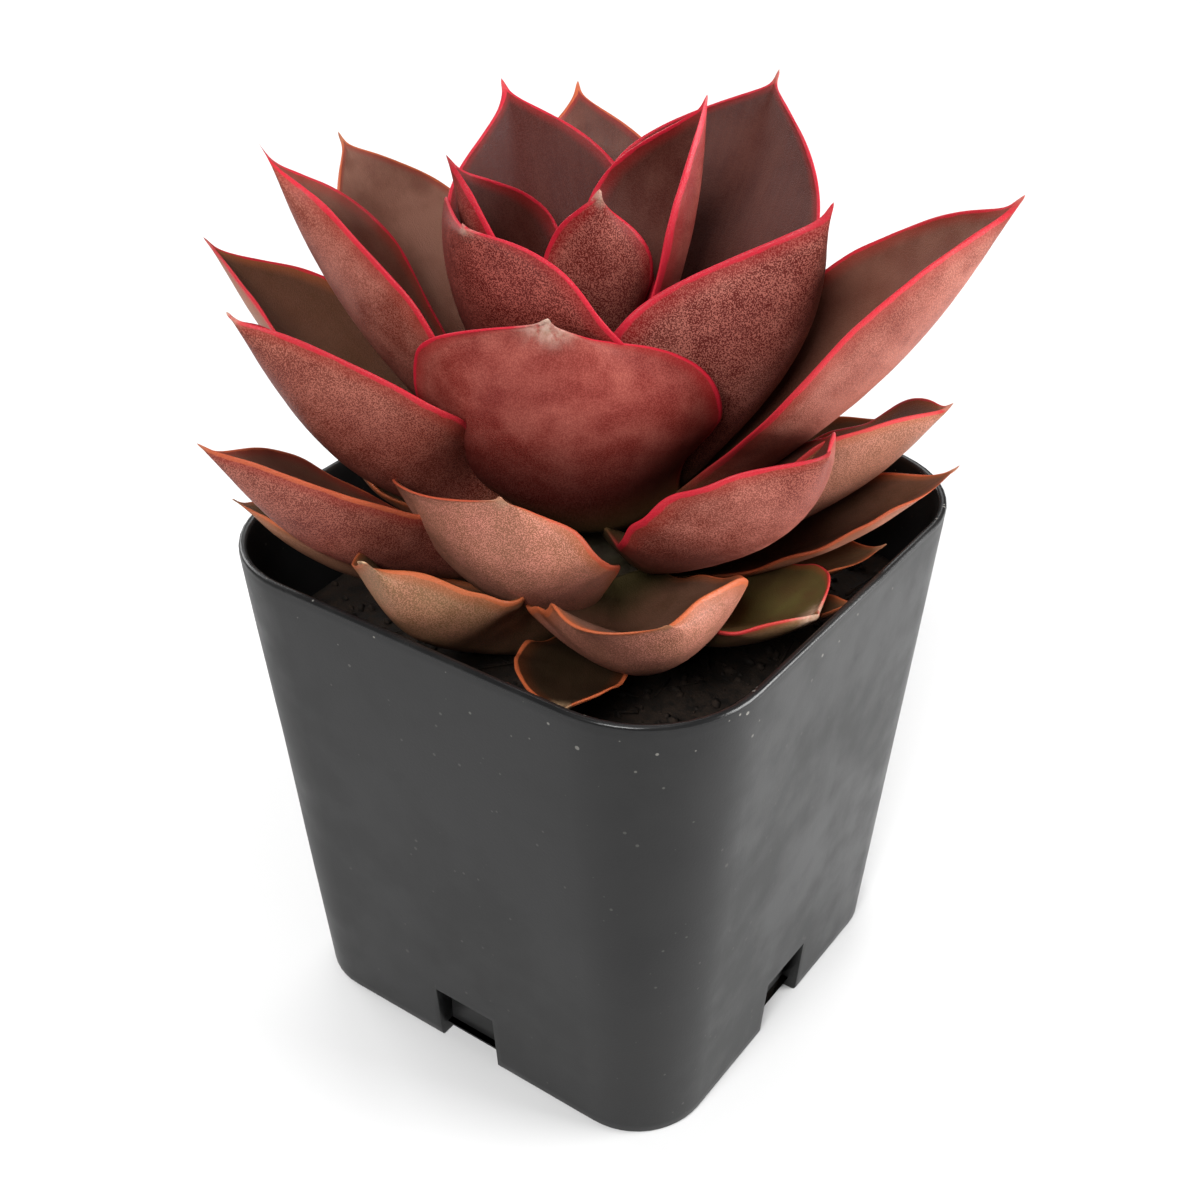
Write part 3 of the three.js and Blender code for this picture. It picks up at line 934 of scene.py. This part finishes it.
def leaf_material(slot, settings):
    """A waxy skin: pale dots over a deep colour below, streaks above, a bright line along the edge,
    a green foot, dried skin at the tip, and painted shade on the leaves that lie in shadow."""
    material, tree, shader = new_material(
        slot.replace("_", " ").title() + " Skin", **{"Specular IOR Level": 0.14}
    )
    palette = LEAF_PALETTES[slot]
    place = object_place(tree)
    keys = ("along", "across", "rim", "upper", "dried", "seed", *LOOKS)
    leaf = {key: attribute(tree, "leaf_" + key) for key in keys}
    dots = use(tree, stipple_group(), {"Vector": place, "Scale": 1 / settings.stipple})["Dots"]
    patches = mottle(tree, place, 110.0)
    given = {"Across": leaf["across"], "Along": leaf["along"], "Density": 0.9, "Seed": leaf["seed"]}
    streaks = use(tree, streak_group(), given)["Streaks"]
    width = plus(tree, times(tree, leaf["edge"], 0.24), 0.11)
    edge = use(tree, edge_group(), {"Vector": place, "Rim": leaf["rim"], "Width": width})

    # under side: deep towards the foot and where it is red, pale bloom in between, stippled
    foot = eased(tree, leaf["along"], 0.25, 0.75, 1.0, 0.0)
    depth = times(tree, leaf["red"], plus(tree, times(tree, foot, 0.9), 0.12))
    bloomed = times(tree, times(tree, patches, leaf["pale"]), 0.6)
    under = mixed(tree, bloomed, palette["under"], settings.bloom)
    under = mixed(tree, depth, under, palette["deep"])
    cloud = times(tree, minus(tree, 1.0, patches), 0.38)
    under = mixed(tree, cloud, under, palette["deep"])
    dark = mixed(tree, 0.75, under, palette["deep"])
    powder = plus(tree, times(tree, leaf["pale"], 0.35), 0.15)
    light = mixed(tree, powder, under, settings.bloom)
    stippled = mixed(tree, dots, dark, light)
    under = mixed(tree, leaf["speckle"], under, stippled)

    # upper side: brown and streaked, redder where the leaf is red
    upper = mixed(tree, times(tree, streaks, 0.12), palette["upper"], (0.14, 0.052, 0.034))
    faded = times(tree, leaf["pale"], plus(tree, times(tree, patches, 0.4), 0.15))
    faded = times(tree, faded, eased(tree, leaf["along"], 0.3, 0.85, 0.25, 1.0))
    upper = mixed(tree, faded, upper, (0.20, 0.095, 0.068))
    upper = mixed(tree, times(tree, leaf["red"], 0.4), upper, palette["deep"])
    upper = mixed(tree, times(tree, dots, 0.04), upper, settings.bloom)

    skin = mixed(tree, leaf["upper"], under, upper)
    greened = times(tree, leaf["green"], plus(tree, times(tree, patches, 0.5), 0.35))
    skin = mixed(tree, greened, skin, (0.085, 0.085, 0.022))
    base = eased(tree, leaf["along"], 0.06, 0.36, 0.85, 0.0)
    skin = mixed(tree, base, skin, settings.foot)
    reach = eased(tree, leaf["along"], 0.12, 0.4)
    band = times(tree, times(tree, edge["Band"], reach), 0.55)
    skin = mixed(tree, band, skin, palette["band"])
    reddened = eased(tree, leaf["red"], 0.15, 0.55)
    line = mixed(tree, reddened, (0.38, 0.085, 0.03), (0.43, 0.012, 0.027))
    boldness = plus(tree, times(tree, leaf["edge"], 0.45), 0.2)
    worn = grain(tree, place, 260.0, 2.0)
    boldness = plus(tree, boldness, times(tree, worn, 0.5), clamp=True)
    drawn = times(tree, times(tree, edge["Line"], reach), boldness)
    skin = mixed(tree, drawn, skin, line)
    # painted shade: the dark share mixes the skin towards black, all but the edge line
    shaded = times(tree, leaf["dark"], minus(tree, 1.0, edge["Line"]))
    skin = mixed(tree, shaded, skin, (0, 0, 0))
    crumbs = eased(tree, grain(tree, place, 900.0, 3.0, 0.6), 0.3, 0.55)
    crust = times(tree, leaf["dried"], crumbs)
    husk = mixed(tree, leaf["red"], settings.dry, (0.62, 0.44, 0.38))
    tan = mixed(tree, grain(tree, place, 1500.0, 2.0), husk, (0.16, 0.085, 0.04))
    skin = mixed(tree, crust, skin, tan)
    tree.links.new(skin, shader.inputs["Base Color"])

    rough = plus(tree, times(tree, dots, 0.10), 0.40)
    rough = plus(tree, rough, times(tree, patches, 0.08))
    rough = minus(tree, rough, times(tree, edge["Line"], 0.10))
    rough = plus(tree, rough, times(tree, crust, 0.35), clamp=True)
    tree.links.new(rough, shader.inputs["Roughness"])
    height = times(tree, dots, plus(tree, leaf["speckle"], 0.3))
    height = plus(tree, height, times(tree, streaks, 0.7))
    height = plus(tree, height, times(tree, crust, 4.0))
    bump(tree, shader, height, 0.02 * MM, 0.8)
    return material


# ---- operators -----------------------------------------------------------------------------
class SUCCULENT_OT_pot(bpy.types.Operator):
    """Moulds the square nursery pot with its rounded rim and drain niches"""

    bl_idname = "succulent.pot"
    bl_label = "Nursery Pot"

    def execute(self, context):
        settings = context.scene.succulent_pot
        bm, material = make_pot(settings), pot_material(settings)
        piece = finish_piece(bm, "nursery_pot", material, "pot_plastic", "pot")
        soften = piece.modifiers.new("Soft Corners", "BEVEL")
        soften.width, soften.segments = 0.14 * MM, 2
        soften.limit_method, soften.angle_limit = "ANGLE", math.radians(60)
        return {"FINISHED"}


class SUCCULENT_OT_mix(bpy.types.Operator):
    """Fills the pot with lumpy potting mix, loose grains and twigs"""

    bl_idname = "succulent.mix"
    bl_label = "Potting Mix"

    def execute(self, context):
        settings = context.scene.succulent_mix
        bm, material = make_mix(settings), mix_material(settings)
        finish_piece(bm, "peat_surface", material, "potting_mix", "potting_mix")
        return {"FINISHED"}


class SUCCULENT_OT_stem(bpy.types.Operator):
    """Grows the short woody stem that carries the leaves"""

    bl_idname = "succulent.stem"
    bl_label = "Stem"

    def execute(self, context):
        settings = context.scene.succulent_stem
        finish_piece(make_stem(settings), "woody_stem", stem_material(settings), "stem", "stem")
        return {"FINISHED"}


class SUCCULENT_OT_leaves(bpy.types.Operator):
    """Grows all the leaves of one age"""

    bl_idname = "succulent.leaves"
    bl_label = "Leaves"

    age: bpy.props.EnumProperty(
        name="Age",
        description="Which leaves are grown",
        items=[
            ("leaf_young", "Young", "The wine red leaves of the heart"),
            ("leaf_mature", "Mature", "The mauve brown leaves of the middle"),
            ("leaf_old", "Old", "The tan and olive leaves of the foot"),
        ],
    )

    def execute(self, context):
        settings = context.scene.succulent_leaf
        material = leaf_material(self.age, settings)
        names = [p["node"] for p in frame["record"]["subparts"] if p["material_slot"] == self.age]
        if not names:
            raise RuntimeError(f"the record has no leaves of {self.age}")
        for name in names:
            seed = 1 + sum(ord(c) for c in name) % 97
            bm = make_leaf(name, leaf_form(name, self.age), settings, seed)
            piece = finish_piece(bm, name.replace("leaf_", "blade_"), material, self.age, name)
            finer = piece.modifiers.new("Finer", "SUBSURF")
            finer.levels = finer.render_levels = 1
        return {"FINISHED"}


def area_light(name, place, target, size, power):
    """A square area light, with its side in metres and its power in watts."""
    light = bpy.data.lights.new(name, "AREA")
    light.shape, light.size, light.size_y = "RECTANGLE", size, size
    light.energy = power
    lamp = bpy.data.objects.new(name, light)
    lamp.location = place
    lamp.rotation_euler = (Vector(target) - Vector(place)).to_track_quat("-Z", "Y").to_euler()
    bpy.context.scene.collection.objects.link(lamp)


class SUCCULENT_OT_stage(bpy.types.Operator):
    """Sets up the pale floor, the soft studio light and the camera"""

    bl_idname = "succulent.stage"
    bl_label = "Stage"

    def execute(self, context):
        scene, settings = context.scene, context.scene.succulent_stage
        bm = bmesh.new()
        bmesh.ops.create_grid(bm, x_segments=1, y_segments=1, size=3.0)
        mesh = bpy.data.meshes.new("studio_floor")
        bm.to_mesh(mesh)
        bm.free()
        material, _, shader = new_material("Studio Floor", Roughness=0.9)
        shader.inputs["Base Color"].default_value = (*settings.floor, 1)
        mesh.materials.append(material)
        floor = bpy.data.objects.new("studio_floor", mesh)
        scene.collection.objects.link(floor)

        world = bpy.data.worlds.new("Studio")
        world.use_nodes = True
        world.node_tree.nodes["Background"].inputs["Color"].default_value = (1, 1, 1, 1)
        world.node_tree.nodes["Background"].inputs["Strength"].default_value = settings.ambient
        scene.world = world
        heart = (0, 0, CENTRE_Z)
        area_light("Front", (0.12, -0.5, 0.54), heart, 0.3, 6.5)
        area_light("Right", (0.5, 0.26, 0.16), heart, 0.35, 7.5)
        area_light("Left", (-0.75, 0.1, 0.4), heart, 0.4, 4.0)
        area_light("Above", (0.05, -0.1, 0.9), heart, 0.5, 1.5)
        area_light("Backdrop", (-0.45, 0.7, 0.8), (-0.5, 0.75, 0), 0.8, 9.0)

        camera = bpy.data.cameras.new("Camera")
        camera.lens, camera.sensor_width = settings.lens, 36
        camera.clip_start = 0.01
        holder = bpy.data.objects.new("Camera", camera)
        target = Vector((0, 0, settings.target))
        level = math.cos(settings.elevation)
        direction = Vector((
            math.sin(settings.azimuth) * level,
            -math.cos(settings.azimuth) * level,
            math.sin(settings.elevation),
        ))
        holder.location = target + direction * settings.distance
        holder.rotation_euler = (-direction).to_track_quat("-Z", "Y").to_euler()
        scene.collection.objects.link(holder)
        scene.camera = holder
        scene.view_settings.view_transform = "Standard"
        return {"FINISHED"}


class SUCCULENT_PT_panel(bpy.types.Panel):
    """Lists the pieces and their settings"""

    bl_label = "Potted Succulent"
    bl_idname = "SUCCULENT_PT_panel"
    bl_space_type = "VIEW_3D"
    bl_region_type = "UI"
    bl_category = "Succulent"

    def draw(self, context):
        for title, key, _ in SECTIONS:
            box = self.layout.box()
            settings = getattr(context.scene, key)
            for field in settings.__annotations__:
                box.prop(settings, field)
            if key == "succulent_leaf":
                for age in PLAIN_LEAF:
                    title = age.replace("_", " ").title()
                    box.operator("succulent.leaves", text=title).age = age
            else:
                box.operator(key.replace("_", ".", 1), text=title)


SECTIONS = (
    ("Nursery Pot", "succulent_pot", PotSettings),
    ("Potting Mix", "succulent_mix", MixSettings),
    ("Stem", "succulent_stem", StemSettings),
    ("Leaves", "succulent_leaf", LeafSettings),
    ("Stage", "succulent_stage", StageSettings),
)
GROUPS = {key: settings for _, key, settings in SECTIONS}
CLASSES = (
    *GROUPS.values(),
    SUCCULENT_OT_pot,
    SUCCULENT_OT_mix,
    SUCCULENT_OT_stem,
    SUCCULENT_OT_leaves,
    SUCCULENT_OT_stage,
    SUCCULENT_PT_panel,
)


def register():
    for item in CLASSES:
        bpy.utils.register_class(item)
    for key, settings in GROUPS.items():
        setattr(bpy.types.Scene, key, bpy.props.PointerProperty(type=settings))


def unregister():
    for key in GROUPS:
        delattr(bpy.types.Scene, key)
    for item in reversed(CLASSES):
        bpy.utils.unregister_class(item)


def main():
    register()
    bpy.ops.succulent.pot()
    bpy.ops.succulent.mix()
    bpy.ops.succulent.stem()
    for age in PLAIN_LEAF:
        bpy.ops.succulent.leaves(age=age)
    bpy.ops.succulent.stage()
    bpy.context.view_layer.update()


if __name__ == "__main__":
    main()
